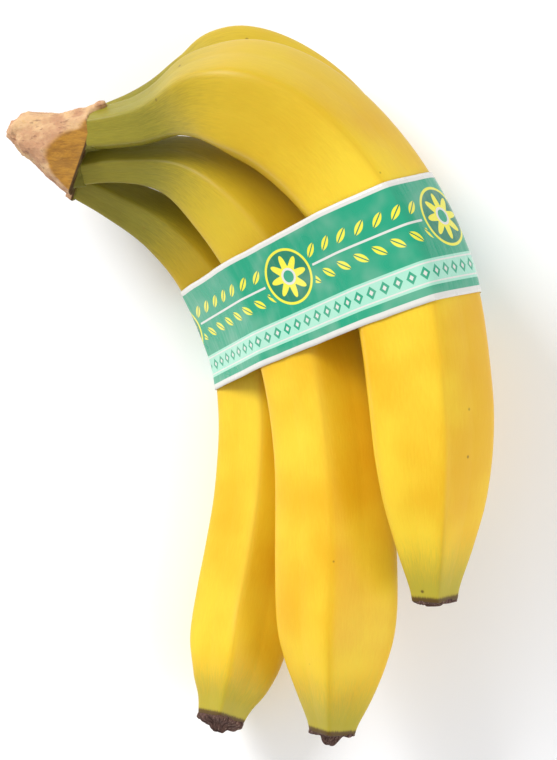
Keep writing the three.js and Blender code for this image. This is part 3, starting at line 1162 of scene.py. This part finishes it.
BANANAS = (
    Banana(
        side=Side.FRONT,
        spine=(
            (-56, 77.5, 40), (-34, 80.2, 47.5), (-11, 86.8, 58), (12.8, 79.6, 62.5),
            (34.8, 58, 63), (49.2, 29.2, 64), (54.6, -2.4, 64.5), (56.4, -33, 64),
            (57.2, -65.8, 60),
        ),
        radii=(
            (0, 6.2), (0.1, 8), (0.15, 9.8), (0.2, 15), (0.26, 19.5), (0.36, 20.6),
            (0.5, 20.7), (0.66, 20.3), (0.78, 19.6), (0.86, 17.2), (0.93, 12.4), (0.98, 8.4),
            (1, 7.4),
        ),
        first_ridge=-0.4,
        seed=1.0,
    ),
    Banana(
        side=Side.MIDDLE,
        spine=(
            (-58, 66.2, 34.2), (-40, 68.4, 35.8), (-19.5, 66.4, 38), (-1, 53, 40), (13, 33.5, 40.5),
            (22, 7, 40.3), (26.5, -19, 40), (28.2, -45, 39.8), (28.6, -70, 39.5),
            (28.3, -90, 38.5), (27.1, -109, 36.5),
        ),
        radii=(
            (0, 5.6), (0.1, 6.9), (0.17, 10.9), (0.24, 14.6), (0.33, 16.9), (0.46, 18),
            (0.62, 18.6), (0.77, 19.9), (0.85, 19.5), (0.9, 16.9), (0.95, 12.3), (0.985, 8.6),
            (1, 7.6),
        ),
        first_ridge=-0.05,
        seed=7.3,
    ),
    Banana(
        side=Side.LEFT,
        spine=(
            (-55, 64.6, 22), (-41.8, 58.4, 21.4), (-25.4, 48.9, 19), (-10.6, 34.2, 15),
            (1.6, 12, 13.4), (5.1, -8, 12.8), (4.9, -32, 11.9), (2.3, -53.7, 11.7),
            (-0.8, -72, 12.2), (-3.5, -90, 15.2), (-8.2, -107.4, 19),
        ),
        radii=(
            (0, 6), (0.09, 7.8), (0.18, 10.1), (0.29, 12.9), (0.38, 14.6), (0.5, 15), (0.65, 15.6),
            (0.8, 16.5), (0.88, 16.3), (0.94, 13), (0.975, 9.4), (1, 7.8),
        ),
        first_ridge=-0.1,
        seed=13.9,
    ),
    Banana(
        side=Side.BACK,
        spine=(
            (-55, 77.6, 27), (-36, 84.8, 25.2), (-18.2, 93.5, 19.5), (-2.3, 96.4, 15.6),
            (17, 86, 14.9), (34.4, 65, 16.9), (48.4, 37.2, 17.3), (56, 8, 16.9),
            (57.5, -20, 12.7), (56.5, -54, 12.6),
        ),
        radii=(
            (0, 6.2), (0.09, 6.8), (0.14, 8), (0.18, 11.4), (0.22, 16), (0.27, 18.6), (0.4, 19.3),
            (0.65, 18.8), (0.78, 17.4), (0.88, 14.2), (0.96, 9), (1, 7.2),
        ),
        first_ridge=-0.1,
        seed=21.7,
    ),
)


def frame_shift(bananas: Sequence[Banana]) -> Array:
    """Works out the move from the hand's own frame to the row's.

    Args:
        bananas: the hand's bananas.

    Returns:
        The move in millimetres, the mean of what fits each banana's box.
    """
    s, a = np.meshgrid(
        np.linspace(0, 1, 31), np.linspace(0, 2 * math.pi, 20, endpoint=False), indexing="ij"
    )
    moves = []
    for banana in bananas:
        points = banana.surface(s, a, alive=False)[0].reshape(-1, 3)
        low, high = (np.array(corner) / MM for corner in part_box(f"{banana.side.value}_banana"))
        moves.append((low + high) / 2 - (points.min(axis=0) + points.max(axis=0)) / 2)
    return np.mean(moves, axis=0)


@dataclass
class Studio:
    """The pale floor, the soft lights and the camera that looks straight down."""

    camera_at: Point = (10.0, 0.7, 927.75)
    lens: float = 135.0
    floor_colour: str = "fbfcff"
    floor_half: float = 3000.0
    sky: float = 0.62
    lights: Sequence[tuple[str, Point, float, float, str]] = (
        ("key", (-900.0, 850.0, 850.0), 650.0, 20.0, "ffffff"),
        ("fill", (900.0, -500.0, 700.0), 900.0, 6.0, "ffffff"),
    )

    def floor(self) -> None:
        """Lays the pale floor under the hand."""
        far = self.floor_half
        corners = np.array([(-far, -far, 0.0), (far, -far, 0.0), (far, far, 0.0), (-far, far, 0.0)])
        floor = make_mesh("floor", corners, [(0, 1, 2, 3)])
        g = Graph("pale_floor")
        g.set(Base_Color=linear(self.floor_colour), Roughness=0.9, Specular_IOR_Level=0.0)
        floor.data.materials.append(g.material)

    def light(self, name: str, at: Point, size: float, power: float, colour: str) -> None:
        """Hangs a soft square light that faces the hand.

        Args:
            name: the light's name.
            at: where it hangs, in millimetres.
            size: the length of its side, in millimetres.
            power: its power in watts.
            colour: its display colour.
        """
        lamp = bpy.data.lights.new(name, "AREA")
        lamp.shape = "SQUARE"
        lamp.size = size * MM
        lamp.energy = power
        lamp.color = linear(colour)[:3]
        holder = bpy.data.objects.new(name, lamp)
        holder.location = Vector(at) * MM
        holder.rotation_euler = (-Vector(at)).to_track_quat("-Z", "Y").to_euler()
        bpy.context.collection.objects.link(holder)

    def build(self, shift: Array) -> None:
        """Sets up the floor, lights, sky and camera.

        Args:
            shift: from the hand's own frame to the row's, in millimetres.
        """
        self.floor()
        for sizes in self.lights:
            self.light(*sizes)
        world = bpy.data.worlds.new("soft_sky")
        world.use_nodes = True
        sky = world.node_tree.nodes["Background"]
        sky.inputs[0].default_value = (1.0, 1.0, 1.0, 1.0)
        sky.inputs[1].default_value = self.sky
        bpy.context.scene.world = world
        data = bpy.data.cameras.new("camera")
        data.lens = self.lens
        data.clip_end = 20
        camera = bpy.data.objects.new("camera", data)
        camera.location = Vector((np.array(self.camera_at) + shift) * MM)
        bpy.context.collection.objects.link(camera)
        bpy.context.scene.camera = camera
        bpy.context.scene.view_settings.view_transform = "Standard"


@dataclass
class Hand:
    """The whole hand: bananas, dried flowers, crown and band."""

    bananas: Sequence[Banana]
    flower_shapes: dict[Side, tuple[float, float, float]]

    def build(self) -> None:
        """Builds and dresses every piece in order."""
        shift = frame_shift(self.bananas)
        peel, dried = PeelFinish(), DriedFlowerFinish().build("dried_flower")
        for banana in self.bananas:
            side = banana.side.value
            skin = peel.build(f"{side}_peel", banana.seed)
            dress(banana.build(shift), skin, "banana_peel", f"{side}_banana")
            length, knob, tilt = self.flower_shapes[banana.side]
            end = FlowerEnd(banana, length, knob, tilt).build(shift)
            dress(end, dried, "dried_flower", f"{side}_flower_end")
        crown = Crown(self.bananas).build(shift)
        dress(crown, CrownFinish().build("crown_cork"), "crown_skin", "crown")
        band = Band(self.bananas)
        film = band.build(shift)
        dress(film, BandPrint(band.width).build("printed_film"), "band_film", "label_band")
        log.info("the film is %.0f mm wide and %.0f mm round", band.width, band.loop)
        Studio().build(shift)


def main() -> None:
    """Builds the hand, moved to fit the frame's boxes."""
    logging.basicConfig(level=logging.INFO, format="%(name)s: %(message)s", stream=sys.stdout)
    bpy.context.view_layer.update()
    flower_shapes = {
        Side.FRONT: (1.8, 0.4, 0.1),
        Side.MIDDLE: (1.9, 2.4, 0.1),
        Side.LEFT: (3.2, 0.8, 0.1),
        Side.BACK: (1.8, 1.2, 0.0),
    }
    Hand(BANANAS, flower_shapes).build()


if __name__ == "__main__":
    main()
